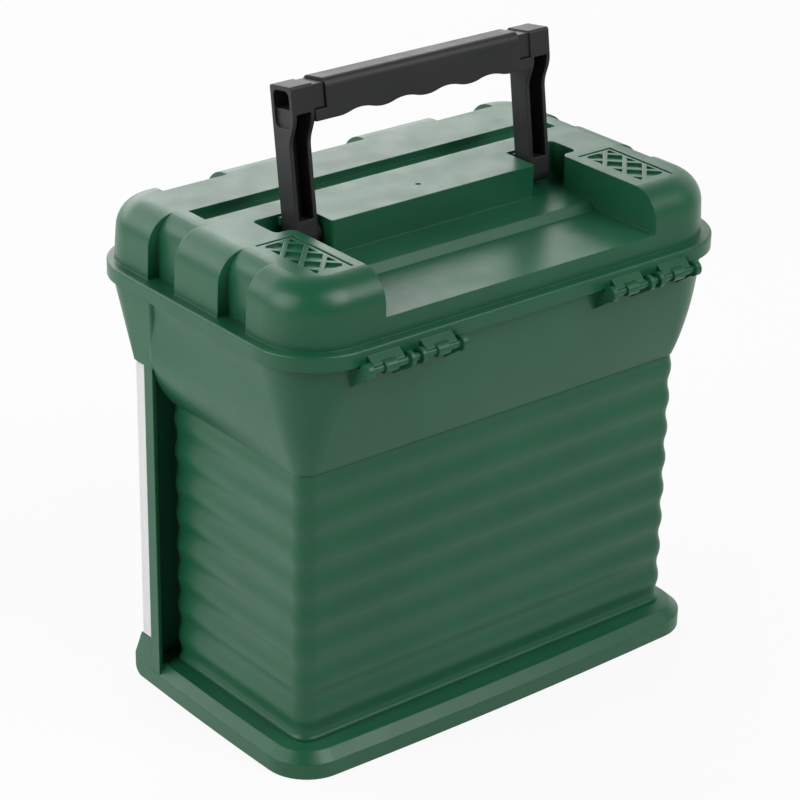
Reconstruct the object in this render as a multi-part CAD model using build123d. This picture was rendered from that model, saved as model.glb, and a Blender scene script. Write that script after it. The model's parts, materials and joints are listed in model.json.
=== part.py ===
"""Rack tackle box: plinth, corrugated case with four trays, flared tub, hinged lid and folding handle.

Millimetres. X runs along the length, +Y points to the hinge side and +Z up.
The origin lies on the underside of the plinth, below the middle of the lid.
"""
from build123d import *
import math
import os

# Rim of the lid, the widest outline of the box, from which the other places are counted
rim_half_length = 135.0
rim_half_depth = 87.0
rim_corner = 34.0
rim_bottom = 213.0
rim_height = 7.5
rim_edge_radius = 1.2
rim_top = rim_bottom + rim_height

# Lid
lid_rise = 30.0
lid_wall = 2.4
lid_ledge = 5.0
lid_draft = 1.3
lid_front_draft = 3.6
lid_front_corner = 24.5
lid_rear_corner = 29.5
lid_edge_radius = 15.0
lid_inner_bevel = 7.4
lid_top = rim_top + lid_rise

# Recess of the lid that takes the folded handle
end_block = 52.8
leg_room = 20.0
shelf_depth = 20.5
strip_depth = 16.5
strip_end = 36.3
shelf_start = 40.0
ridge_rear = 16.0
pocket_reach = 10.1
pocket_front = -5.5
pocket_rear = 13.0
pocket_corner = 3.0
block_corner = 4.0
ridge_corner = 1.2
shelf_half_length = rim_half_length - end_block
ridge_half_length = shelf_half_length - leg_room
pocket_outer = shelf_half_length + pocket_reach
shelf_floor = lid_top - shelf_depth
strip_floor = lid_top - strip_depth

# Long groove and the flutes round the lid
groove_end_inset = 27.0
groove_front = -33.6
groove_rear = -20.2
groove_depth = 4.0
gate_mark_y = 2.5
gate_mark_radius = 1.3
gate_mark_depth = 0.4
flute_depth = 6.6
flute_arc = 9.5
flute_run_out = 3.2
end_flute_drop = 4.6
end_flute_width = 21.5
end_flute_shares = (-0.293, 0.345)
front_flute_drop = 5.9
front_flute_width = 37.0
front_flute_shares = (-0.622, 0.0, 0.622)
groove_half_length = rim_half_length - groove_end_inset

# Anti-slip pads on the two blocks beside the recess
pad_gap = 5.1
pad_width = 21.3
pad_length = 45.0
pad_rear_inset = 22.5
pad_line = 1.5
pad_line_depth = 1.0
pad_margin = 3.0
pad_field_width = 16.0
pad_well_depth = 1.2
pad_band = 2.3
pad_band_pitch = 14.0
pad_band_angle = 46.7
pad_band_numbers = (-2, -1, 0, 1, 2)
pad_inner = shelf_half_length + pad_gap
pad_rear = rim_half_depth - pad_rear_inset
pad_front = pad_rear - pad_length

# Front frame, which sets the plane of the door
frame_inset = 39.5
frame_wall = 2.0
frame_depth = 9.5
frame_front = frame_inset - rim_half_depth

# Flared tub
tub_wall = 2.4
tub_height = 58.5
tub_floor = 2.5
tub_front_corner = 3.0
tub_rim_inset = 4.6
tub_rim_corner = 30.0
tub_collar_corner = 27.0
lid_seat_gap = 0.3
# Each section of the flare: share of the height, of the outward run, and of that run at the front edge
flare_shares = ((0, 0, 0), (0.18, 0.247, 0.58), (0.356, 0.45, 0.90), (0.61, 0.71, 0.955), (1, 1, 1))
tub_bottom = rim_bottom - tub_height
tub_front = frame_front + frame_depth
tub_rear = rim_half_depth - tub_rim_inset
tub_half_length = rim_half_length - tub_rim_inset
tub_top = rim_bottom - lid_seat_gap

# Corrugated case
case_end_inset = 17.0
case_rear_inset = 19.7
case_corner = 9.0
case_end_corner = 6.0
case_end_step = 0.6
case_wall = 2.2
case_bottom = 13.6
case_deck = 2.0
case_lip = 1.5
wave_depth = 1.3
wave_count = 8
lowest_crest_rise = 13.4
top_crest_drop = 8.5
case_half_length = rim_half_length - case_end_inset
case_rear = rim_half_depth - case_rear_inset
case_end_face = tub_front - case_end_step
lowest_crest = case_bottom + lowest_crest_rise
wave_pitch = (tub_bottom - top_crest_drop - lowest_crest) / (wave_count - 1)

# Brow of the tub above the door
brow_height = 37.8
brow_end_inset = 5.5
brow_overhang = 4.0
brow_corner = 2.0
brow_top_corner = 24.0
brow_lap = 4.5
brow_proud = 0.1
brow_bottom = rim_bottom - brow_height
brow_half_length = rim_half_length - brow_end_inset
brow_front = frame_front - brow_overhang
brow_rear = tub_front + brow_lap

# Front frame posts, a Z section that the door closes over, with a flange behind the door
post_inset = 10.0
post_lip_reach = 3.1
post_lip_setback = 5.6
post_lip = 1.6
flange_depth = 6.8
flange_gap = 0.3
header_gap = 0.3
header_drop = 3.4
post_inner = case_half_length - post_inset
post_lip_outer = brow_half_length
post_side = post_lip_outer - post_lip_reach
post_lip_front = frame_front + post_lip_setback
post_lip_rear = post_lip_front + post_lip
flange_rear = post_lip_front + flange_depth
header_half_length = post_inner - header_gap
header_top = brow_bottom - header_drop

# Trays
tray_count = 4
tray_top_gap = 1.3
tray_gap = 0.6
tray_side_gap = 1.6
tray_setback = 1.9
tray_rear_gap = 6.8
tray_wall = 1.6
tray_corner = 5.0
tray_lid_height = 3.2
tray_lid_plate = 1.5
tray_lid_inset = 0.4
divider_shares = (-0.5, 0.0, 0.5)
divider_thickness = 1.4
divider_clearance = 0.3
clip_share = 0.545
clip_half_width = 9.0
clip_thickness = 1.5
clip_height = 11.0
tray_pitch = (tub_bottom - tray_top_gap - case_bottom - case_deck) / tray_count
tray_half_length = post_inner - tray_side_gap
tray_front = frame_front + tray_setback
tray_rear = case_rear - tray_rear_gap

# Racks for the trays
rail_thickness = 2.0
rail_overlap = 2.9
rail_setback = 12.6
rail_reach = tray_half_length - rail_overlap
rail_front = tray_front + rail_setback
tray_height = tray_pitch - tray_lid_height - rail_thickness - tray_gap

# Plinth
base_rear_inset = 8.25
base_corner = 23.0
base_rear_bow = 2.6
base_end_bow = 1.0
base_band = 8.0
base_floor = 2.5
base_wall = 3.0
base_foot_radius = 1.5
shoulder_run = 5.0
shoulder_top = 12.6
shoulder_ledge = 10.9
base_roof = 2.5
base_window = 19.0
toe_reach = 8.9
toe_low = 5.0
toe_high = 12.0
toe_top = 26.0
toe_top_reach = 2.8
toe_heel_reach = 3.5
toe_gap = 0.3
toe_wall = 2.6
base_half_length = brow_half_length
base_rear = rim_half_depth - base_rear_inset
toe_front = frame_front - toe_reach
toe_rear = frame_front - toe_gap

# Clear door and its hinge
door_wall = 2.2
door_gap = 0.4
door_top_gap = 0.6
door_side_inset = 0.3
door_corner = 1.6
door_lug_inset = 41.2
door_lug_width = 14.0
door_lug_radius = 3.0
door_axis_reach = 1.5
door_axis_drop = 3.4
door_pin_radius = 1.5
door_pin_grip = 4.0
door_notch_clearance = 0.5
door_pull_half_length = 24.0
door_pull_height = 4.0
door_pull_reach = 3.6
door_pull_drop = 9.0
door_bottom = toe_top + door_gap
door_top = brow_bottom - door_top_gap
door_half_length = post_lip_outer - door_side_inset
door_lug_middle = door_half_length - door_lug_inset
door_axis_y = frame_front - door_axis_reach
door_axis_z = toe_top - door_axis_drop

# Rear hinges
hinge_end_inset = 62.0
hinge_reach = 4.0
hinge_drop = 1.2
hinge_pin_radius = 1.9
hinge_half_width = 28.5
gusset_thickness = 3.0
gusset_drop = 15.0
gusset_root = 6.0
knuckle_radius = 3.8
ring_middle = 3.2
ring_thickness = 2.2
hinge_tab_start = 6.0
hinge_tab_end = 24.0
hinge_tab_thickness = 1.8
hinge_tab_rise = 4.2
hinge_tab_reach = 1.2
hinge_tab_lift = 1.6
hinge_block_width = 7.0
hinge_block_radius = 3.1
running_clearance = 0.05
hinge_middle = rim_half_length - hinge_end_inset
hinge_y = rim_half_depth + hinge_reach
hinge_z = rim_bottom - hinge_drop

# Lid latches at the front
latch_end_inset = 63.0
latch_reach = 4.2
latch_rise = 4.4
latch_half_width = 15.0
latch_side_gap = 0.4
latch_cheek = 3.0
latch_pin_radius = 1.5
latch_barrel = 2.8
latch_thickness = 3.0
latch_length = 18.0
latch_toe_reach = 3.0
latch_toe_height = 7.0
latch_nose_drop = 5.5
latch_nose_height = 4.5
cheek_reach = 3.0
cheek_rise = 1.2
keeper_half_width = 12.0
keeper_reach = 1.4
keeper_drop = 1.0
keeper_height = 7.0
keeper_foot_drop = 15.0
keeper_gap = 0.3
latch_middle = rim_half_length - latch_end_inset
latch_y = -rim_half_depth - latch_reach
latch_z = rim_bottom + latch_rise
keeper_front = -rim_half_depth - keeper_reach

# Folding handle, measured from its pivot in the upright position
pivot_y = 4.4
pivot_drop = 8.5
handle_lean = 8.0
leg_inner_gap = 3.2
leg_outer_gap = 4.6
leg_half_depth = 5.6
leg_wall = 2.0
leg_neck = 42.0
handle_rise = 72.0
collar_rear = 10.6
collar_height = 13.1
collar_edge = 1.4
channel_foot = 8.0
channel_web = 2.2
end_hole_depth = 9.0
end_hole_recess = 1.2
end_hole_margin = 2.2
end_hole_height = 17.6
end_hole_corner = 3.0
bar_front = -2.6
bar_rear = 7.4
bar_drop = 3.3
bar_height = 10.2
inner_collar_width = 6.6
inner_collar_inset = 0.8
trunnion_radius = 3.0
trunnion_reach = 3.4
boss_radius = 5.0
boss_gap = 0.3
stop_height = 4.0
stop_inset = 0.8
stop_gap = 0.3
pivot_z = lid_top - pivot_drop
leg_inner = ridge_half_length + leg_inner_gap
leg_outer = shelf_half_length - leg_outer_gap
collar_bottom = handle_rise - collar_height
collar_low = collar_bottom + inner_collar_inset
inner_collar_end = leg_inner - inner_collar_width
bar_top = handle_rise - bar_drop
bar_bottom = bar_top - bar_height

# Grip sleeve on the bar of the handle
grip_front = -6.4
grip_rear = 11.0
grip_swell = 0.8
grip_height = 18.8
grip_edge = 4.0
grip_gap = 0.4
grip_clearance = 0.1
finger_count = 4
finger_pitch_share = 0.2
finger_depth = 1.9
grip_half_length = leg_inner - grip_gap
grip_top = handle_rise + grip_swell
grip_bottom = grip_top - grip_height
finger_pitch = 2 * grip_half_length * finger_pitch_share

# Length by which every cutter runs past what it cuts
overrun = 6.0


def block(x_low, x_high, y_low, y_high, z_low, z_high):
    """Box given by its limits."""
    middle = Pos((x_low + x_high) / 2, (y_low + y_high) / 2, (z_low + z_high) / 2)
    return middle * Box(x_high - x_low, y_high - y_low, z_high - z_low)


def tapered_plan(front_half, rear_half, front, rear, front_radius, rear_radius, height):
    """Flat outline with rounded corners at a height, as long at the front and the rear as is given."""
    corners = [(-front_half, front), (front_half, front), (rear_half, rear), (-rear_half, rear)]
    outline = Pos(0, 0, height) * make_face(Polyline(*corners, close=True))
    outline = fillet(outline.vertices().sort_by(Axis.Y)[:2], front_radius)
    return fillet(outline.vertices().sort_by(Axis.Y)[-2:], rear_radius)


def plan(half_length, front, rear, front_radius, rear_radius, height):
    """Outline that is as long at the front as at the rear."""
    return tapered_plan(half_length, half_length, front, rear, front_radius, rear_radius, height)


def side_prism(points, x_low, x_high):
    """Straight-edged profile in Y and Z, drawn out along X."""
    face = make_face(Polyline(*points, close=True))
    return extrude(Plane.YZ.offset(x_low) * face, amount=x_high - x_low)


def rod(radius, x_low, x_high, y, z):
    """Round bar along X."""
    return Pos((x_low + x_high) / 2, y, z) * Rot(0, 90, 0) * Cylinder(radius, x_high - x_low)


def mirrored(shape):
    """Copy on the other end of the box."""
    return mirror(shape, about=Plane.YZ)


def at_both_ends(shape):
    """A feature and its mirror image."""
    return shape + mirrored(shape)


# Plinth

def bowed_plan(inset, height):
    """Outline of the plinth, whose rear and ends bow outwards."""
    half = base_half_length - inset
    rear = base_rear - inset
    front = Line((-half, toe_rear), (half, toe_rear))
    right = ThreePointArc((half, toe_rear), (half + base_end_bow, (toe_rear + rear) / 2), (half, rear))
    back = ThreePointArc((half, rear), (0, rear + base_rear_bow), (-half, rear))
    left = mirrored(right)
    outline = make_face(Curve() + [front, right, back, left])
    outline = fillet(outline.vertices().sort_by(Axis.Y)[-2:], base_corner - inset)
    return Pos(0, 0, height) * outline


def toe_profile(inset):
    """Rounded front of the plinth, below the door."""
    front = toe_front + inset
    heel_end = frame_front - toe_heel_reach + inset
    brow_end = frame_front - toe_top_reach + inset
    low = Line((toe_rear, inset), (heel_end, inset))
    heel = TangentArc(low @ 1, (front, toe_low + inset), tangent=(-1, 0))
    nose = Line(heel @ 1, (front, toe_high))
    brow_line = Line(nose @ 1, (brow_end, toe_top - inset))
    top = Line(brow_line @ 1, (toe_rear, toe_top - inset))
    back = Line(top @ 1, low @ 0)
    return make_face(Curve() + [low, heel, nose, brow_line, top, back])


def hollow_under_shoulder():
    """Inside of the plinth, with a roof below the shoulder and a window below the deck."""
    def layer(inset, z_high):
        outline = plan(base_half_length - inset, toe_rear + inset, base_rear - inset, base_foot_radius,
                       base_corner - inset, base_floor)
        return extrude(outline, amount=z_high - base_floor)
    low = layer(base_wall, base_band - base_roof / 2)
    high = layer(base_wall + shoulder_run, case_bottom - base_roof)
    window = layer(base_window, case_bottom + overrun)
    return low + high + window


def door_hinge_boss():
    """Thick stretch of the toe that carries a door pin."""
    reach = door_lug_width / 2 + door_notch_clearance + door_pin_grip
    return extrude(Plane.YZ.offset(door_lug_middle - reach) * toe_profile(0), amount=2 * reach)


def door_hinge_cut():
    """Notch for a door lug and the bore of its pin."""
    half = door_lug_width / 2 + door_notch_clearance
    reach = half + door_pin_grip
    notch = block(door_lug_middle - half, door_lug_middle + half, toe_front - overrun, toe_rear + overrun,
                  door_axis_z - door_lug_radius - door_notch_clearance, toe_top + overrun)
    bore = rod(door_pin_radius, door_lug_middle - reach, door_lug_middle + reach, door_axis_y, door_axis_z)
    return notch + bore


def make_base():
    half = base_half_length
    band = bowed_plan(0, base_band)
    slope = bowed_plan(shoulder_run, shoulder_top)
    ledge = bowed_plan(shoulder_ledge, case_bottom)
    body = extrude(bowed_plan(0, 0), amount=base_band)
    body += loft([band, slope], ruled=True)
    body += loft([slope, ledge], ruled=True)
    body -= hollow_under_shoulder()
    toe = extrude(Plane.YZ.offset(-half) * toe_profile(0), amount=2 * half)
    toe -= extrude(Plane.YZ.offset(-half + toe_wall) * toe_profile(toe_wall), amount=2 * (half - toe_wall))
    body += toe
    ear = block(post_side, half, toe_rear, post_lip_front, 0, toe_top)
    ear += block(post_side - frame_wall, half, post_lip_front, flange_rear, 0, case_bottom)
    body += at_both_ends(ear)
    body += at_both_ends(door_hinge_boss())
    return body - at_both_ends(door_hinge_cut())


# Corrugated case

def wave_profile():
    """Section of the corrugated wall: waves outside, a straight skin inside, measured from the crests."""
    quarter = wave_pitch / 4
    trough = -wave_depth
    middle = -wave_depth / 2
    inner = -wave_depth - case_wall
    lip_top = case_bottom + case_lip
    low_trough = lowest_crest - 2 * quarter
    edges = [Line((inner, case_bottom), (0, case_bottom)), Line((0, case_bottom), (0, lip_top))]
    edges.append(TangentArc((trough, low_trough), (0, lip_top), tangent=(0, -1)))
    edges.append(TangentArc((trough, low_trough), (middle, low_trough + quarter), tangent=(0, 1)))
    for number in range(wave_count):
        crest = lowest_crest + number * wave_pitch
        edges.append(ThreePointArc((middle, crest - quarter), (0, crest), (middle, crest + quarter)))
    for number in range(wave_count - 1):
        valley = lowest_crest + number * wave_pitch + 2 * quarter
        edges.append(ThreePointArc((middle, valley - quarter), (trough, valley), (middle, valley + quarter)))
    edges.append(Line((middle, tub_bottom - top_crest_drop + quarter), (trough, tub_bottom)))
    edges.append(Line((trough, tub_bottom), (inner, tub_bottom)))
    edges.append(Line((inner, tub_bottom), (inner, case_bottom)))
    return make_face(Curve() + edges)


def wave_wall():
    """Corrugated wall round the rear and the ends: straight panels joined by turned corners."""
    profile = wave_profile()
    corner_x = case_half_length - case_corner
    corner_y = case_rear - case_corner
    front_x = case_half_length - case_end_corner
    front_y = case_end_face + case_end_corner
    rear_panel = Plane(origin=(-corner_x, case_rear, 0), x_dir=(0, 1, 0), z_dir=(1, 0, 0)) * profile
    end_panel = Plane(origin=(case_half_length, corner_y, 0), x_dir=(1, 0, 0), z_dir=(0, -1, 0)) * profile
    front_edge = Plane(origin=(case_half_length, front_y, 0), x_dir=(1, 0, 0), z_dir=(0, -1, 0)) * profile
    turn_back = Plane(origin=(front_x, case_end_face, 0), x_dir=(0, -1, 0), z_dir=(-1, 0, 0)) * profile
    end = extrude(end_panel, amount=corner_y - front_y)
    end += revolve(end_panel, axis=Axis((corner_x, corner_y, 0), (0, 0, 1)), revolution_arc=90)
    end += revolve(front_edge, axis=Axis((front_x, front_y, 0), (0, 0, -1)), revolution_arc=90)
    end += extrude(turn_back, amount=front_x - post_inner - frame_wall / 2)
    return extrude(rear_panel, amount=2 * corner_x) + at_both_ends(end)


def post():
    """Front frame post: inner web, front plate, side wall and the flange behind the door."""
    inner_web = post_inner + frame_wall
    plate_rear = frame_front + frame_wall
    side_inner = post_side - frame_wall
    flange_inner = post_lip_outer - frame_wall
    web_rear = case_end_face + case_wall
    section = Polyline(
        (post_inner, frame_front), (post_side, frame_front), (post_side, post_lip_front),
        (post_lip_outer, post_lip_front), (post_lip_outer, flange_rear), (flange_inner, flange_rear),
        (flange_inner, post_lip_rear), (side_inner, post_lip_rear), (side_inner, plate_rear),
        (inner_web, plate_rear), (inner_web, web_rear), (post_inner, web_rear), close=True)
    column = extrude(Pos(0, 0, case_bottom) * make_face(section), amount=brow_bottom - case_bottom)
    notch = block(post_inner - overrun, post_lip_outer + overrun, frame_front - overrun, post_lip_front,
                  header_top, brow_bottom + overrun)
    tail = block(post_inner - overrun, inner_web + overrun, tub_front, web_rear + overrun, tub_bottom,
                 brow_bottom + overrun)
    return column - notch - tail - flare(-flange_gap, tub_bottom)


def make_case():
    """Walls, deck, frame posts and tray racks."""
    edge = wave_depth + case_wall / 2
    deck = extrude(plan(case_half_length - edge, case_end_face + edge, case_rear - edge, case_end_corner,
                        case_corner - edge, case_bottom), amount=case_deck)
    deck += block(-post_inner, post_inner, frame_front, case_end_face + 2 * edge, case_bottom,
                  case_bottom + case_deck)
    shell = wave_wall() + deck + at_both_ends(post())
    for level in range(1, tray_count):
        rail_top = tray_base(level)
        rail = block(rail_reach, case_half_length - edge, rail_front, tray_rear, rail_top - rail_thickness,
                     rail_top)
        shell += at_both_ends(rail)
    return shell


# Flared tub

def flare(inset, z_low):
    """Main flare of the tub, moved in by a wall: it spreads fastest at its front edge, below the brow."""
    end_run = tub_half_length - case_half_length
    rear_run = tub_rear - case_rear
    corner_run = tub_rim_corner - case_corner
    sections = []
    for height_share, run_share, front_share in flare_shares:
        height = max(z_low, tub_bottom + height_share * (tub_top - tub_bottom))
        sections.append(tapered_plan(
            case_half_length + front_share * end_run - inset, case_half_length + run_share * end_run - inset,
            tub_front + inset, case_rear + run_share * rear_run - inset, tub_front_corner,
            case_corner + height_share * corner_run - inset, height))
    return loft(sections)


def brow(inset):
    """Part of the tub that overhangs the door."""
    low = plan(brow_half_length - inset, brow_front + inset, brow_rear, brow_corner, brow_corner,
               brow_bottom + inset)
    high = plan(tub_half_length + brow_proud - inset, inset - tub_rear, brow_rear, brow_top_corner - inset,
                brow_corner, tub_top)
    return loft([low, high], ruled=True)


def collar(inset, z_high):
    """Upright edge of the tub inside the lid's rim."""
    outline = plan(tub_half_length - inset, inset - tub_rear, tub_rear - inset, tub_collar_corner - inset,
                   tub_rim_corner - inset, tub_top)
    return extrude(outline, amount=z_high - tub_top)


def hinge_body_parts(middle):
    """End gussets and ring ribs that carry a hinge pin."""
    web_top = hinge_z + lid_seat_gap
    web = [(tub_rear - tub_wall, web_top), (hinge_y, web_top), (hinge_y, hinge_z - knuckle_radius),
           (tub_rear - gusset_root, rim_bottom - gusset_drop)]
    spans = [
        (-hinge_half_width, gusset_thickness - hinge_half_width),
        (hinge_half_width - gusset_thickness, hinge_half_width),
        (-ring_middle - ring_thickness / 2, ring_thickness / 2 - ring_middle),
        (ring_middle - ring_thickness / 2, ring_middle + ring_thickness / 2),
    ]
    parts = Part()
    for low, high in spans:
        parts += side_prism(web, middle + low, middle + high)
        parts += rod(knuckle_radius, middle + low, middle + high, hinge_y, hinge_z)
    bore = rod(hinge_pin_radius, middle - hinge_half_width - overrun, middle + hinge_half_width + overrun,
               hinge_y, hinge_z)
    return parts - bore - flare(tub_wall, tub_bottom + tub_floor)


def latch_keeper(middle):
    """Catch on the brow below a lid latch."""
    slope = (tub_rear + brow_front) / (tub_top - brow_bottom)
    top = rim_bottom - keeper_drop
    foot = rim_bottom - keeper_foot_drop
    wall_top = brow_front - slope * (top - brow_bottom) + tub_wall / 2
    wall_foot = brow_front - slope * (foot - brow_bottom) + tub_wall / 2
    outline = [(wall_top, top), (keeper_front, top), (keeper_front, top - keeper_height), (wall_foot, foot)]
    return side_prism(outline, middle - keeper_half_width, middle + keeper_half_width)


def make_tub():
    seat = rim_top - lid_wall - lid_seat_gap
    header = block(-header_half_length, header_half_length, frame_front, tub_front + tub_wall, tub_bottom,
                   header_top)
    outside = flare(0, tub_bottom) + brow(0) + collar(0, seat) + header
    header_room = block(tub_wall - header_half_length, header_half_length - tub_wall, frame_front + tub_wall,
                        tub_front + overrun, tub_bottom + tub_floor, header_top - tub_wall)
    inside = flare(tub_wall, tub_bottom + tub_floor) + brow(tub_wall) + header_room
    inside += collar(tub_wall, seat + overrun)
    tub = outside - inside
    for side in (-1, 1):
        tub += hinge_body_parts(side * hinge_middle)
        tub += latch_keeper(side * latch_middle)
    return tub


# Lid

def lid_crown(inset):
    """Upper part of the lid as a plain block with drafted walls, moved in by a wall."""
    half = rim_half_length - lid_ledge - inset
    depth = rim_half_depth - lid_ledge - inset
    front_corner = lid_front_corner - inset
    rear_corner = lid_rear_corner - inset
    low = plan(half, -depth, depth, front_corner, rear_corner, rim_top - lid_ledge)
    high = plan(half - lid_draft, lid_front_draft - depth, depth - lid_draft, front_corner - lid_draft,
                rear_corner - lid_draft, lid_top - inset)
    return loft([low, high], ruled=True)


def top_edges(shape):
    return shape.faces().sort_by(Axis.Z)[-1].edges()


def lid_outside():
    """Outside of the lid without its recesses: rounded crown on the rim."""
    crown = lid_crown(0)
    outline = plan(rim_half_length, -rim_half_depth, rim_half_depth, rim_corner, rim_corner, rim_bottom)
    skirt = extrude(outline, amount=rim_height)
    return fillet(top_edges(skirt), rim_edge_radius) + fillet(top_edges(crown), lid_edge_radius)


def lid_inside():
    """Room below the lid without its recesses."""
    crown = lid_crown(lid_wall)
    half = rim_half_length - lid_wall
    depth = rim_half_depth - lid_wall
    radius = rim_corner - lid_wall
    skirt = extrude(plan(half, -depth, depth, radius, radius, rim_bottom - overrun),
                    amount=rim_height + overrun - lid_wall)
    return skirt + chamfer(top_edges(crown), lid_inner_bevel)


def recess_plan():
    """Outline of the handle recess: strip, shelf and the two leg pockets."""
    far = rim_half_depth + overrun
    outline = Pos(0, (ridge_rear + far) / 2) * Rectangle(2 * shelf_half_length, far - ridge_rear)
    pocket = Rectangle(pocket_outer - ridge_half_length, pocket_rear - pocket_front)
    pocket = Pos((pocket_outer + ridge_half_length) / 2, (pocket_front + pocket_rear) / 2) * pocket
    link = Rectangle(leg_room, ridge_rear - pocket_front)
    link = Pos(ridge_half_length + leg_room / 2, (pocket_front + ridge_rear) / 2) * link
    outline += at_both_ends(pocket + link)
    rounds = (
        (pocket_corner, pocket_outer, pocket_front),
        (pocket_corner, pocket_outer, pocket_rear),
        (block_corner, shelf_half_length, pocket_rear),
        (ridge_corner, ridge_half_length, ridge_rear),
        (ridge_corner, ridge_half_length, pocket_front),
    )
    for radius, x, y in rounds:
        corners = [v for v in outline.vertices() if math.isclose(abs(v.X), x) and math.isclose(v.Y, y)]
        outline = fillet(corners, radius)
    return outline


def recess_cut(grow):
    """Handle recess and long groove, grown by a wall."""
    above = lid_top + overrun
    outline = recess_plan()
    if grow > 0:
        outline = offset(outline, amount=grow)
    cut = extrude(Pos(0, 0, strip_floor - grow) * outline, amount=above - strip_floor + grow)
    far = rim_half_depth + overrun
    half = shelf_half_length + grow
    cut += side_prism([(strip_end - grow, strip_floor - grow), (shelf_start - grow, shelf_floor - grow),
                       (far, shelf_floor - grow), (far, above), (strip_end - grow, above)], -half, half)
    half = groove_half_length + grow
    cut += block(-half, half, groove_front - grow, groove_rear + grow, lid_top - groove_depth - grow, above)
    return cut


def flute_profile(wall_face, drop, grow):
    """Side view of a flute: across the wall, then up."""
    face = wall_face - flute_depth - grow
    radius = flute_arc - grow
    crown = lid_top - drop - grow
    far = wall_face + overrun + lid_ledge
    low = rim_top - grow
    above = lid_top + overrun
    rise = Line((face, low), (face, crown - radius))
    turn = TangentArc(rise @ 1, (face - radius, crown), tangent=(0, 1))
    run_out = Line(turn @ 1, (face - radius - flute_run_out, above))
    top = Line(run_out @ 1, (far, above))
    outside = Line(top @ 1, (far, low))
    bottom = Line(outside @ 1, rise @ 0)
    return make_face(Curve() + [rise, turn, run_out, top, outside, bottom])


def flute_cuts(grow):
    """Flutes in the two end walls and the front wall of the lid."""
    end_face = flute_profile(rim_half_length - lid_ledge, end_flute_drop, grow)
    front_face = flute_profile(rim_half_depth - lid_ledge - lid_front_draft / 2, front_flute_drop, grow)
    cuts = Part()
    for share in end_flute_shares:
        half = end_flute_width / 2 + grow
        cut = extrude(Plane.XZ.offset(-share * rim_half_depth - half) * end_face, amount=2 * half)
        cuts += at_both_ends(cut)
    for share in front_flute_shares:
        half = front_flute_width / 2 + grow
        cut = extrude(Plane.YZ.offset(share * rim_half_length - half) * front_face, amount=2 * half)
        cuts += mirror(cut, about=Plane.XZ)
    return cuts


def pad_cut(x_low):
    """Angle line and cross-hatched wells of one anti-slip pad."""
    top = lid_top + overrun
    line_floor = lid_top - pad_line_depth
    cut = block(x_low, x_low + pad_width, pad_front, pad_front + pad_line, line_floor, top)
    cut += block(x_low, x_low + pad_line, pad_front, pad_rear, line_floor, top)
    middle_x = x_low + pad_margin + pad_field_width / 2
    middle_y = (pad_front + pad_rear) / 2
    field = Pos(middle_x, middle_y) * Rectangle(pad_field_width, pad_length - 2 * pad_margin)
    for turn, shift_share in ((pad_band_angle, 0), (-pad_band_angle, 0.5)):
        for number in pad_band_numbers:
            place = Pos(middle_x, middle_y + (number + shift_share) * pad_band_pitch)
            field -= place * Rot(0, 0, turn) * Rectangle(pad_length, pad_band)
    return cut + extrude(Pos(0, 0, lid_top - pad_well_depth) * field, amount=top - lid_top)


def hinge_tabs(middle):
    """Two lid tabs with their knuckle blocks over a hinge pin."""
    root = rim_half_depth - lid_wall / 2
    tab_top = rim_bottom + hinge_tab_rise
    tip = hinge_y + hinge_tab_reach
    tip_top = hinge_z + hinge_tab_lift
    plate = [(root, tab_top - hinge_tab_thickness), (root, tab_top), (rim_half_depth, tab_top),
             (tip, tip_top), (tip, tip_top - hinge_tab_thickness),
             (rim_half_depth, tab_top - 2 * hinge_tab_thickness)]
    tabs = Part()
    for side in (-1, 1):
        centre = middle + side * (hinge_tab_start + hinge_tab_end) / 2
        half = (hinge_tab_end - hinge_tab_start) / 2
        tabs += side_prism(plate, centre - half, centre + half)
        tabs += rod(hinge_block_radius, centre - hinge_block_width / 2, centre + hinge_block_width / 2,
                    hinge_y, hinge_z)
    bore = rod(hinge_pin_radius + running_clearance, middle - hinge_half_width, middle + hinge_half_width,
               hinge_y, hinge_z)
    return tabs - bore


def latch_cheeks(middle):
    """Pair of ears on the rim that carries a latch pin."""
    root = lid_wall / 2 - rim_half_depth
    tip = latch_y - cheek_reach
    low = rim_bottom + cheek_rise
    outline = [(root, low), (tip, low), (tip, rim_top), (root, rim_top)]
    inner = latch_half_width + latch_side_gap
    outer = inner + latch_cheek
    ears = side_prism(outline, middle + inner, middle + outer)
    ears += side_prism(outline, middle - outer, middle - inner)
    return ears - rod(latch_pin_radius, middle - outer - overrun, middle + outer + overrun, latch_y, latch_z)


def handle_stop():
    """Rib in a pocket that the leaning leg rests on."""
    tilt = math.radians(handle_lean)
    height = lid_top - stop_inset - pivot_z
    along = (height + leg_half_depth * math.sin(tilt)) / math.cos(tilt)
    leg_face = pivot_y - leg_half_depth * math.cos(tilt) - along * math.sin(tilt)
    return block(leg_inner, leg_outer, pocket_front - lid_wall / 2, leg_face - stop_gap,
                 lid_top - stop_inset - stop_height, lid_top - stop_inset)


def make_lid():
    outside = lid_outside() - recess_cut(0) - flute_cuts(0)
    inside = lid_inside() - recess_cut(lid_wall) - flute_cuts(lid_wall)
    lid = outside - inside
    lid -= pad_cut(pad_inner)
    lid -= pad_cut(-pad_inner - pad_width)
    lid -= Pos(0, gate_mark_y, lid_top) * Cylinder(gate_mark_radius, 2 * gate_mark_depth)
    lid += at_both_ends(handle_stop())
    bore = rod(trunnion_radius + running_clearance, ridge_half_length - lid_wall - overrun,
               ridge_half_length + overrun, pivot_y, pivot_z)
    lid -= at_both_ends(bore)
    for side in (-1, 1):
        lid += hinge_tabs(side * hinge_middle)
        lid += latch_cheeks(side * latch_middle)
    return lid


# Handle

def lean(shape):
    """Turn a piece of the upright handle to its resting lean and put it on the pivot."""
    return Pos(0, pivot_y, pivot_z) * Rot(handle_lean, 0, 0) * shape


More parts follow.
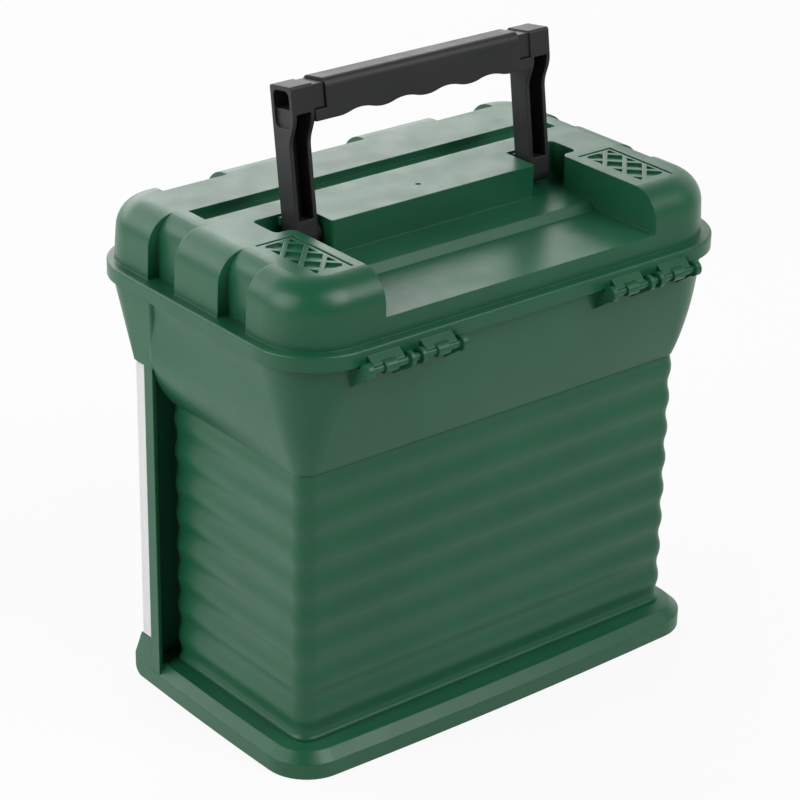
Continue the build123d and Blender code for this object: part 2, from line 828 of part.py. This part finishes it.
def leg_profile():
    """Side view of a leg: straight at the front, waisted at the rear."""
    foot = ThreePointArc((-leg_half_depth, 0), (0, -leg_half_depth), (leg_half_depth, 0))
    shank = Line(foot @ 1, (leg_half_depth, leg_neck))
    swell = Spline(shank @ 1, (collar_rear, collar_bottom), tangents=((0, 1), (0, 1)))
    rear = Line(swell @ 1, (collar_rear, handle_rise))
    top = Line(rear @ 1, (-leg_half_depth, handle_rise))
    front = Line(top @ 1, foot @ 0)
    return make_face(Curve() + [foot, shank, swell, rear, top, front])


def end_hole():
    """Hole in the outer end of a collar, shallow where it passes the channel."""
    front = end_hole_margin - leg_half_depth
    rear = collar_rear - end_hole_margin
    top = handle_rise - end_hole_margin
    low = top - end_hole_height
    outline = RectangleRounded(rear - front, end_hole_height, end_hole_corner)
    outline = Pos((front + rear) / 2, (low + top) / 2) * outline
    deep = extrude(Plane.YZ.offset(leg_outer - end_hole_depth) * outline, amount=end_hole_depth)
    deep -= block(leg_inner, leg_outer, front, rear, low, collar_bottom + leg_wall)
    return deep + extrude(Plane.YZ.offset(leg_outer - end_hole_recess) * outline, amount=overrun)


def handle_leg():
    leg = extrude(Plane.YZ.offset(leg_inner) * leg_profile(), amount=leg_outer - leg_inner)
    leg = fillet(leg.edges().filter_by(Axis.X).sort_by(Axis.Z)[-2:], collar_edge)
    channel = block(leg_inner + leg_wall, leg_outer - leg_wall, channel_web - leg_half_depth,
                    collar_rear + overrun, channel_foot, collar_bottom)
    leg -= channel + end_hole()
    leg += rod(boss_radius, ridge_half_length + boss_gap, leg_inner, 0, 0)
    leg += rod(trunnion_radius, ridge_half_length - trunnion_reach, leg_inner, 0, 0)
    return leg


def make_handle_frame():
    inner_collar = block(inner_collar_end, leg_inner, inner_collar_inset - leg_half_depth,
                         collar_rear - inner_collar_inset, collar_low, handle_rise - inner_collar_inset)
    bar = block(-leg_inner, leg_inner, bar_front, bar_rear, bar_bottom, bar_top)
    return lean(at_both_ends(handle_leg() + inner_collar) + bar)


def finger_wave():
    """Edges of the wavy underside of the grip, from one end to the other."""
    low = grip_bottom
    middle = grip_bottom + finger_depth / 2
    high = grip_bottom + finger_depth
    quarter = finger_pitch / 4
    start = finger_pitch * finger_count / 2
    edges = [Line((start, low), (grip_half_length, low)), Line((-start, low), (-grip_half_length, low))]
    edges.append(TangentArc((start, low), (start - quarter, middle), tangent=(-1, 0)))
    edges.append(TangentArc((-start, low), (quarter - start, middle), tangent=(1, 0)))
    for number in range(finger_count):
        top_x = start - (2 + 4 * number) * quarter
        edges.append(ThreePointArc((top_x + quarter, middle), (top_x, high), (top_x - quarter, middle)))
    for number in range(1, finger_count):
        low_x = start - 4 * number * quarter
        edges.append(ThreePointArc((low_x + quarter, middle), (low_x, low), (low_x - quarter, middle)))
    return edges


def make_handle_grip():
    """Sleeve with finger waves along its underside, notched round the inner collars of the legs."""
    half = grip_half_length
    edges = finger_wave()
    edges.append(Line((half, grip_bottom), (half, grip_top)))
    edges.append(Line((half, grip_top), (-half, grip_top)))
    edges.append(Line((-half, grip_top), (-half, grip_bottom)))
    body = extrude(Plane.XZ.offset(-grip_rear) * make_face(Curve() + edges), amount=grip_rear - grip_front)
    body = fillet(body.edges().filter_by(Axis.X).group_by(Axis.Z)[-1], grip_edge)
    notch = block(inner_collar_end - grip_gap, half + overrun, grip_front - overrun, grip_rear + overrun,
                  collar_low - grip_gap, grip_top + overrun)
    bore = block(-half - overrun, half + overrun, bar_front - grip_clearance, bar_rear + grip_clearance,
                 bar_bottom - grip_clearance, bar_top + grip_clearance)
    return lean(body - at_both_ends(notch) - bore)


# Small moving parts

def make_hinge_pin(side):
    middle = side * hinge_middle
    return rod(hinge_pin_radius, middle - hinge_half_width, middle + hinge_half_width, hinge_y, hinge_z)


def make_latch_pin(side):
    middle = side * latch_middle
    half = latch_half_width + latch_side_gap + latch_cheek
    return rod(latch_pin_radius, middle - half, middle + half, latch_y, latch_z)


def make_latch(side):
    """Hasp with a barrel at the top, a nose in front of the keeper and a thumb lip."""
    middle = side * latch_middle
    low = middle - latch_half_width
    high = middle + latch_half_width
    front = latch_y - latch_barrel
    rear = front + latch_thickness
    nose = keeper_front - keeper_gap
    bottom = rim_bottom - latch_length
    nose_top = rim_bottom - latch_nose_drop
    nose_low = nose_top - latch_nose_height
    plate = [(front, latch_z), (rear, latch_z), (rear, nose_top), (nose, nose_low + latch_thickness / 2),
             (nose, nose_low), (rear, nose_low - latch_thickness / 2), (rear, bottom + latch_toe_height / 2),
             (rear - latch_toe_reach, bottom), (front - latch_toe_reach, bottom),
             (front, bottom + latch_toe_height)]
    hasp = side_prism(plate, low, high)
    hasp += rod(latch_barrel, low, high, latch_y, latch_z)
    return hasp - rod(latch_pin_radius + running_clearance, low - overrun, high + overrun, latch_y, latch_z)


def door_lug(inner, outer):
    """Eye of the door on one of its pins."""
    half = door_lug_width / 2
    lug = rod(door_lug_radius, door_lug_middle - half, door_lug_middle + half, door_axis_y, door_axis_z)
    lug += block(door_lug_middle - half, door_lug_middle + half, outer, inner, door_axis_z,
                 door_bottom + door_wall)
    reach = half + overrun
    return lug - rod(door_pin_radius + running_clearance, door_lug_middle - reach, door_lug_middle + reach,
                     door_axis_y, door_axis_z)


def make_door():
    """Clear door: panel, side and top returns, hinge lugs and a finger pull."""
    inner = frame_front - door_gap
    outer = inner - door_wall
    rear = post_lip_front - door_gap
    half = door_half_length
    door = block(-half, half, outer, rear, door_bottom, door_top)
    door = fillet(door.edges().filter_by(Axis.Z).group_by(Axis.Y)[0], door_corner)
    door -= block(door_wall - half, half - door_wall, inner, rear + overrun, door_bottom - overrun,
                  door_top - door_wall)
    door += at_both_ends(door_lug(inner, outer))
    pull_top = door_top - door_pull_drop
    pull_low = pull_top - door_pull_height
    pull_front = outer - door_pull_reach
    return door + side_prism([(inner, pull_top), (pull_front, pull_low + door_pull_height / 2),
                              (pull_front, pull_low), (inner, pull_low)],
                             -door_pull_half_length, door_pull_half_length)


def make_door_pin(side):
    middle = side * door_lug_middle
    reach = door_lug_width / 2 + door_notch_clearance + door_pin_grip
    return rod(door_pin_radius, middle - reach, middle + reach, door_axis_y, door_axis_z)


# Trays

def tray_base(level):
    """Height of the rack that carries a tray."""
    return case_bottom + case_deck + level * tray_pitch


def tray_outline(inset, height):
    return plan(tray_half_length - inset, tray_front + inset, tray_rear - inset, tray_corner - inset,
                tray_corner - inset, height)


def make_tray(level):
    floor = tray_base(level)
    tub = extrude(tray_outline(0, floor), amount=tray_height)
    return tub - extrude(tray_outline(tray_wall, floor + tray_wall), amount=tray_height)


def make_tray_lid(level):
    floor = tray_base(level) + tray_height
    cover = extrude(tray_outline(0, floor), amount=tray_lid_height)
    room = tray_outline(tray_wall + tray_lid_inset, floor)
    return cover - extrude(room, amount=tray_lid_height - tray_lid_plate)


def make_tray_dividers(level):
    floor = tray_base(level) + tray_wall
    front = tray_front + tray_wall + divider_clearance
    rear = tray_rear - tray_wall - divider_clearance
    top = floor + tray_height - tray_wall - divider_clearance
    half = divider_thickness / 2
    plates = []
    for share in divider_shares:
        middle = share * (tray_half_length - tray_wall)
        plates.append(block(middle - half, middle + half, front, rear, floor, top))
    return Compound(children=plates)


def make_tray_clips(level):
    top = tray_base(level) + tray_height + tray_lid_height
    clips = []
    for side in (-1, 1):
        middle = side * clip_share * tray_half_length
        clips.append(block(middle - clip_half_width, middle + clip_half_width, tray_front - clip_thickness,
                           tray_front, top - clip_height, top))
    return Compound(children=clips)


def make_all():
    nodes = {
        "base": make_base(),
        "lower_case": make_case(),
        "upper_tub": make_tub(),
        "lid": make_lid(),
        "handle_frame": make_handle_frame(),
        "handle_grip": make_handle_grip(),
        "front_door": make_door(),
    }
    for side, name in ((-1, "left"), (1, "right")):
        nodes["hinge_pin_" + name] = make_hinge_pin(side)
        nodes["lid_latch_" + name] = make_latch(side)
        nodes["latch_pin_" + name] = make_latch_pin(side)
        nodes["door_pin_" + name] = make_door_pin(side)
    for level in range(tray_count):
        number = str(level + 1)
        nodes["tray_" + number] = make_tray(level)
        nodes["tray_lid_" + number] = make_tray_lid(level)
        nodes["tray_dividers_" + number] = make_tray_dividers(level)
        nodes["tray_clips_" + number] = make_tray_clips(level)
    return nodes


os.makedirs("parts", exist_ok=True)
for node_name, node_shape in make_all().items():
    export_step(node_shape, os.path.join("parts", node_name + ".step"))
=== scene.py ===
import json
import math
import bpy
from mathutils import Matrix, Vector


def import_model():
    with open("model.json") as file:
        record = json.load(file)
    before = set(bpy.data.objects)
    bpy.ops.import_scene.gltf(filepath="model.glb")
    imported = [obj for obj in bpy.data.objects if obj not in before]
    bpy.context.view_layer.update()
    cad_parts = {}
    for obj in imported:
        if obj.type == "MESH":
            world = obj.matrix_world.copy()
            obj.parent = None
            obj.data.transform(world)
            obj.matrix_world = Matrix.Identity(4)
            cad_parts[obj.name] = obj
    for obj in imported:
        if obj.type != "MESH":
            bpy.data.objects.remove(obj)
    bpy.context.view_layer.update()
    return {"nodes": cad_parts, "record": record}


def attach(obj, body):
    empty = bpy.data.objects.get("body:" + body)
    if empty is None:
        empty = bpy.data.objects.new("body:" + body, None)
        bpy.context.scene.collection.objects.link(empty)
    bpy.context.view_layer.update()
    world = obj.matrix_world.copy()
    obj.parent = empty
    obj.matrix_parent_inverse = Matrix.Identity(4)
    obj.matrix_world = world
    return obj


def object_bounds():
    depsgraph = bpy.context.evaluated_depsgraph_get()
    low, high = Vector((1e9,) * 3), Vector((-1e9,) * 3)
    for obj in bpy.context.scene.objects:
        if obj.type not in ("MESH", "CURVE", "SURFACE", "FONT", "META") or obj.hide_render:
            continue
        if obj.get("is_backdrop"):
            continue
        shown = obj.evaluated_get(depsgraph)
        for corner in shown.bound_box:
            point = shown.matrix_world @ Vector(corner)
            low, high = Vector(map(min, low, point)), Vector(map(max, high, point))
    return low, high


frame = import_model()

nodes = frame["nodes"]

# Camera of the photo: places in metres, angles in degrees, lens and sensor in millimetres
camera_target = Vector((0.00683, -0.00015, 0.13769))
camera_distance = 1.3622
camera_azimuth = 140.71
camera_elevation = 25.13
camera_roll = 0.96
camera_lens = 124.2
camera_sensor = 36.0
camera_reach = 20.0

# End flutes of the lid, in metres: their places along the wall, their width and the face of their back
lid_top = 0.2505
flute_places = (-0.025491, 0.030015)
flute_half_width = 0.01075
flute_face = 0.1234

# Cut of a flute in the lid, in metres: depth below the lid's top, rounding, and reach of its upper end
cut_drop = 0.0046
cut_arc = 0.0095
cut_run_out = 0.0028

# Rounded floor over that cut, in metres: rounding, crown above the lid's top, and step on the lid's top
floor_arc = 0.0110
floor_lift = 0.0004
floor_step = 0.00003

# Mesh of a rounded floor: steps along an arc, and the angle in degrees from which an edge stays sharp
arc_steps = 18
sharp_angle = 20.0

# Colours, in linear light
green = (0.0080, 0.095, 0.0420, 1.0)
green_pale = (0.0115, 0.112, 0.0520, 1.0)
black = (0.011, 0.012, 0.012, 1.0)
black_pale = (0.020, 0.021, 0.021, 1.0)
clear_tint = (0.93, 0.965, 0.955, 1.0)
white = (1.0, 1.0, 1.0, 1.0)
floor_colour = (0.80, 0.80, 0.80, 1.0)

# Noises: scale and detail
flow_marks = (22.0, 4.0)
sheen_marks = (60.0, 3.0)
green_grain = (2600.0, 2.0)
black_grain = (2200.0, 2.0)
tray_haze = (40.0, 3.0)
door_haze = (14.0, 2.0)

# Parts of a noise's range over which roughness and colour change
rough_range = (0.3, 0.7)
tint_range = (0.3, 0.75)

# Moulded plastic: roughness and how far it varies, depth of the grain and softened edges in metres
green_roughness = 0.36
black_roughness = 0.50
sheen_down = 0.035
sheen_up = 0.045
green_grain_depth = 0.00003
black_grain_depth = 0.00005
edge_radius = 0.0007
edge_samples = 6

# Clear plastic of the trays
tray_transmission = 0.85
tray_roughness = 0.15
haze_down = 0.05
haze_up = 0.06
clear_ior = 1.46

# Clear plastic of the door: its face, its frosted side edges, and where these start and are full, in metres
door_transmission = 0.93
door_roughness = 0.06
door_edge_transmission = 0.40
door_edge_roughness = 0.32
door_edge_start = 0.006
door_edge_full = 0.004

# Brightness of the studio: behind the box, on the side of the camera, and the share left at the ceiling
bright_side = 1.0
dark_side = 0.12
ceiling_share = 0.35

# Brightness of the floor in reflections, at the front and at the rear of the box
floor_bright = 1.0
floor_dark = 0.55

# Directions in the studio, and between which places along them the brightness changes
dark_way = (0.63, 0.77, 0.0)
up_way = (0.0, 0.0, 1.0)
rear_way = (0.0, 1.0, 0.0)
side_change = (-0.85, -0.05)
ceiling_change = (0.5, 0.72)
floor_change = (-0.15, 0.25)

# Floor: roughness, share of plain white where it is seen, half size and gap below the box in metres
floor_roughness = 0.9
floor_white_share = 0.9
floor_half = 4.0
floor_gap = 0.0002

# Softboxes: name, place, width and height in metres, power in watts, and share of it in reflections
light_aim = (0.0, 0.0, 0.14)
softboxes = (
    ("back", (0.0, -2.0, 1.06), 4.0, 1.2, 38.0, 1.0),
    ("left", (1.70, -0.30, 1.10), 1.4, 1.4, 22.0, 0.8),
    ("near", (-0.60, 1.50, 1.70), 1.4, 1.4, 31.0, 0.4),
)


# Shader nodes

def new_material(name):
    """Node material with its tree and shader."""
    material = bpy.data.materials.new(name)
    material.use_nodes = True
    tree = material.node_tree
    shader = tree.nodes["Principled BSDF"]
    return material, tree, shader


def noise(tree, scale, detail):
    """Noise over the piece's own place, so that it rides along."""
    place = tree.nodes.new("ShaderNodeTexCoord")
    texture = tree.nodes.new("ShaderNodeTexNoise")
    texture.inputs["Scale"].default_value = scale
    texture.inputs["Detail"].default_value = detail
    tree.links.new(place.outputs["Object"], texture.inputs["Vector"])
    return texture.outputs["Fac"]


def ramp(tree, value, first, second):
    """Two colours over part of a noise's range."""
    node = tree.nodes.new("ShaderNodeValToRGB")
    for element, position, colour in zip(node.color_ramp.elements, tint_range, (first, second)):
        element.position = position
        element.color = colour
    tree.links.new(value, node.inputs["Fac"])
    return node.outputs["Color"]


def span(tree, value, start, end, start_value, end_value, curve="LINEAR"):
    """A value carried from one range to another."""
    node = tree.nodes.new("ShaderNodeMapRange")
    node.interpolation_type = curve
    node.inputs["From Min"].default_value = start
    node.inputs["From Max"].default_value = end
    node.inputs["To Min"].default_value = start_value
    node.inputs["To Max"].default_value = end_value
    tree.links.new(value, node.inputs["Value"])
    return node.outputs["Result"]


def along(tree, way, change, start_value, end_value):
    """A value that changes along a direction of the studio."""
    place = tree.nodes.new("ShaderNodeTexCoord")
    reach = tree.nodes.new("ShaderNodeVectorMath")
    reach.operation = "DOT_PRODUCT"
    reach.inputs[1].default_value = way
    tree.links.new(place.outputs["Object"], reach.inputs[0])
    return span(tree, reach.outputs["Value"], *change, start_value, end_value, "SMOOTHSTEP")


def joined(tree, operation, first, second):
    """Two values joined by a sum, a product or the like."""
    node = tree.nodes.new("ShaderNodeMath")
    node.operation = operation
    tree.links.new(first, node.inputs[0])
    tree.links.new(second, node.inputs[1])
    return node.outputs["Value"]


def share_of(tree, value, share):
    """A value times a fixed share."""
    node = tree.nodes.new("ShaderNodeMath")
    node.operation = "MULTIPLY"
    node.inputs[1].default_value = share
    tree.links.new(value, node.inputs[0])
    return node.outputs["Value"]


def mixed(tree, share, first, second):
    """Two shaders mixed by a share."""
    node = tree.nodes.new("ShaderNodeMixShader")
    tree.links.new(share, node.inputs["Fac"])
    tree.links.new(first, node.inputs[1])
    tree.links.new(second, node.inputs[2])
    return node.outputs["Shader"]


# Materials

def moulded_plastic(name, colour, pale, roughness, grain_marks, grain_depth, soft_edges=True):
    """Moulded plastic with a fine grain, faint flow marks and an uneven sheen, and with soft edges if asked."""
    material, tree, shader = new_material(name)
    flow = noise(tree, *flow_marks)
    tree.links.new(ramp(tree, flow, colour, pale), shader.inputs["Base Color"])
    sheen = noise(tree, *sheen_marks)
    rough = span(tree, sheen, *rough_range, roughness - sheen_down, roughness + sheen_up)
    tree.links.new(rough, shader.inputs["Roughness"])
    grain = noise(tree, *grain_marks)
    bump = tree.nodes.new("ShaderNodeBump")
    bump.inputs["Strength"].default_value = 1.0
    bump.inputs["Distance"].default_value = grain_depth
    tree.links.new(grain, bump.inputs["Height"])
    if soft_edges:
        edge = tree.nodes.new("ShaderNodeBevel")
        edge.samples = edge_samples
        edge.inputs["Radius"].default_value = edge_radius
        tree.links.new(edge.outputs["Normal"], bump.inputs["Normal"])
    tree.links.new(bump.outputs["Normal"], shader.inputs["Normal"])
    return material


def tray_plastic(name):
    """Clear moulded plastic with a faint haze."""
    material, tree, shader = new_material(name)
    haze = noise(tree, *tray_haze)
    rough = span(tree, haze, *rough_range, tray_roughness - haze_down, tray_roughness + haze_up)
    tree.links.new(rough, shader.inputs["Roughness"])
    tree.links.new(ramp(tree, haze, clear_tint, white), shader.inputs["Base Color"])
    shader.inputs["Transmission Weight"].default_value = tray_transmission
    shader.inputs["IOR"].default_value = clear_ior
    return material


def door_plastic(name, half_width):
    """Clear plastic that is frosted along the door's two side edges."""
    material, tree, shader = new_material(name)
    haze = noise(tree, *door_haze)
    tree.links.new(ramp(tree, haze, clear_tint, white), shader.inputs["Base Color"])
    place = tree.nodes.new("ShaderNodeTexCoord")
    sides = tree.nodes.new("ShaderNodeSeparateXYZ")
    tree.links.new(place.outputs["Object"], sides.inputs["Vector"])
    reach = tree.nodes.new("ShaderNodeMath")
    reach.operation = "ABSOLUTE"
    tree.links.new(sides.outputs["X"], reach.inputs[0])
    edge_range = (half_width - door_edge_start, half_width - door_edge_full)
    edge = span(tree, reach.outputs["Value"], *edge_range, 0.0, 1.0)
    clearness = span(tree, edge, 0.0, 1.0, door_transmission, door_edge_transmission)
    tree.links.new(clearness, shader.inputs["Transmission Weight"])
    rough = span(tree, edge, 0.0, 1.0, door_roughness, door_edge_roughness)
    tree.links.new(rough, shader.inputs["Roughness"])
    shader.inputs["IOR"].default_value = clear_ior
    return material


def paint(material, name):
    """Give a node a material."""
    mesh = nodes[name].data
    mesh.materials.clear()
    mesh.materials.append(material)


green_look = (green, green_pale, green_roughness, green_grain, green_grain_depth)
black_look = (black, black_pale, black_roughness, black_grain, black_grain_depth)
green_plastic = moulded_plastic("green_plastic", *green_look)
green_floor = moulded_plastic("green_floor", *green_look, soft_edges=False)
black_plastic = moulded_plastic("black_plastic", *black_look)
clear = tray_plastic("clear_plastic")
door_half = max(abs(corner[0]) for corner in nodes["front_door"].bound_box)
door_clear = door_plastic("door_plastic", door_half)

slots = {"green_plastic": green_plastic, "black_plastic": black_plastic, "clear_plastic": clear}
for part in frame["record"]["subparts"]:
    paint(slots[part["material_slot"]], part["node"])
paint(door_clear, "front_door")


# Rounded floors of the lid's end flutes

def arc(middle_x, middle_z, radius, start, end):
    """Points of an arc, in degrees from level."""
    turns = [math.radians(start + (end - start) * step / arc_steps) for step in range(arc_steps + 1)]
    return [(middle_x + radius * math.cos(turn), middle_z + radius * math.sin(turn)) for turn in turns]


def flute_outline():
    """Side view of the piece between a flute's cut and its rounded floor, which runs out into the lid's top."""
    floor_middle = lid_top + floor_lift - floor_arc
    top = lid_top + floor_step
    end = math.degrees(math.asin((top - floor_middle) / floor_arc))
    floor_points = arc(flute_face - floor_arc, floor_middle, floor_arc, 0.0, end)
    foot = (flute_face - cut_arc - cut_run_out, top)
    cut_points = arc(flute_face - cut_arc, lid_top - cut_drop - cut_arc, cut_arc, 90.0, 0.0)
    return [*floor_points, foot, *cut_points]


def flute_floor(name, middle, turn):
    """Rounded floor across a flute, turned about the upright axis to its wall."""
    outline = flute_outline()
    ends = (middle - flute_half_width, middle + flute_half_width)
    turned = Matrix.Rotation(turn, 3, "Z")
    points = [turned @ Vector((x, y, z)) for y in ends for x, z in outline]
    count = len(outline)
    faces = [tuple(range(count)), tuple(reversed(range(count, 2 * count)))]
    for step in range(count):
        after = (step + 1) % count
        faces.append((after, step, step + count, after + count))
    mesh = bpy.data.meshes.new(name)
    mesh.from_pydata(points, [], faces)
    mesh.validate()
    for face in mesh.polygons:
        face.use_smooth = True
    mesh.set_sharp_from_angle(angle=math.radians(sharp_angle))
    mesh.materials.append(green_floor)
    piece = bpy.data.objects.new(name, mesh)
    bpy.context.collection.objects.link(piece)
    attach(piece, "lid")


for number, flute_place in enumerate(flute_places, 1):
    flute_floor(f"flute_floor_right_{number}", flute_place, 0.0)
    flute_floor(f"flute_floor_left_{number}", -flute_place, math.pi)


# Stage

def floor_material():
    """White floor that keeps a soft shadow, and is brighter in reflections at the front of the box."""
    material, tree, shader = new_material("floor_white")
    shader.inputs["Base Color"].default_value = floor_colour
    shader.inputs["Roughness"].default_value = floor_roughness
    shader.inputs["Specular IOR Level"].default_value = 0.0
    path = tree.nodes.new("ShaderNodeLightPath")
    shown = tree.nodes.new("ShaderNodeEmission")
    shown.inputs["Color"].default_value = white
    shown.inputs["Strength"].default_value = 1.0
    mirrored = tree.nodes.new("ShaderNodeEmission")
    mirrored.inputs["Color"].default_value = white
    level = along(tree, rear_way, floor_change, floor_bright, floor_dark)
    tree.links.new(level, mirrored.inputs["Strength"])
    seen = joined(tree, "MAXIMUM", path.outputs["Is Camera Ray"], path.outputs["Is Transmission Ray"])
    plain_share = share_of(tree, seen, floor_white_share)
    surface = mixed(tree, plain_share, shader.outputs["BSDF"], shown.outputs["Emission"])
    surface = mixed(tree, path.outputs["Is Glossy Ray"], surface, mirrored.outputs["Emission"])
    tree.links.new(surface, tree.nodes["Material Output"].inputs["Surface"])
    return material


def floor():
    """Large pale floor below the object."""
    mesh = bpy.data.meshes.new("floor")
    corners = [(-floor_half, -floor_half, 0.0), (floor_half, -floor_half, 0.0),
               (floor_half, floor_half, 0.0), (-floor_half, floor_half, 0.0)]
    mesh.from_pydata(corners, [], [(0, 1, 2, 3)])
    piece = bpy.data.objects.new("floor", mesh)
    piece.location.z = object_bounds()[0][2] - floor_gap
    bpy.context.collection.objects.link(piece)
    mesh.materials.append(floor_material())
    piece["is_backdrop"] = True


def world():
    """Studio that is bright behind the box and darker on the side of the camera."""
    scene = bpy.context.scene
    scene.world = bpy.data.worlds.new("studio")
    scene.world.use_nodes = True
    tree = scene.world.node_tree
    surround = tree.nodes["Background"]
    surround.inputs["Color"].default_value = white
    level = along(tree, dark_way, side_change, bright_side, dark_side)
    height = along(tree, up_way, ceiling_change, 1.0, ceiling_share)
    tree.links.new(joined(tree, "MULTIPLY", level, height), surround.inputs["Strength"])
    path = tree.nodes.new("ShaderNodeLightPath")
    plain = tree.nodes.new("ShaderNodeBackground")
    plain.inputs["Color"].default_value = white
    plain.inputs["Strength"].default_value = 1.0
    seen = joined(tree, "MAXIMUM", path.outputs["Is Camera Ray"], path.outputs["Is Transmission Ray"])
    surface = mixed(tree, seen, surround.outputs["Background"], plain.outputs["Background"])
    tree.links.new(surface, tree.nodes["World Output"].inputs["Surface"])


def soft_light(name, place, width, height, power, gloss):
    """Softbox turned to the box."""
    data = bpy.data.lights.new(name, "AREA")
    data.shape = "RECTANGLE"
    data.size = width
    data.size_y = height
    data.energy = power
    data.specular_factor = gloss
    lamp = bpy.data.objects.new(name, data)
    lamp.location = place
    lamp.rotation_euler = (Vector(light_aim) - Vector(place)).to_track_quat("-Z", "Y").to_euler()
    bpy.context.collection.objects.link(lamp)


def camera():
    """Camera at the photo's viewing angle."""
    azimuth = math.radians(camera_azimuth)
    elevation = math.radians(camera_elevation)
    away = Vector((math.sin(azimuth) * math.cos(elevation), -math.cos(azimuth) * math.cos(elevation),
                   math.sin(elevation)))
    data = bpy.data.cameras.new("camera")
    data.lens = camera_lens
    data.sensor_width = camera_sensor
    data.clip_end = camera_reach
    view = bpy.data.objects.new("camera", data)
    turn = (-away).to_track_quat("-Z", "Y").to_matrix().to_4x4()
    roll = Matrix.Rotation(math.radians(camera_roll), 4, "Z")
    view.matrix_world = Matrix.Translation(camera_target + away * camera_distance) @ turn @ roll
    bpy.context.collection.objects.link(view)
    bpy.context.scene.camera = view


floor()
world()
for softbox in softboxes:
    soft_light(*softbox)
camera()
bpy.context.scene.view_settings.view_transform = "Standard"
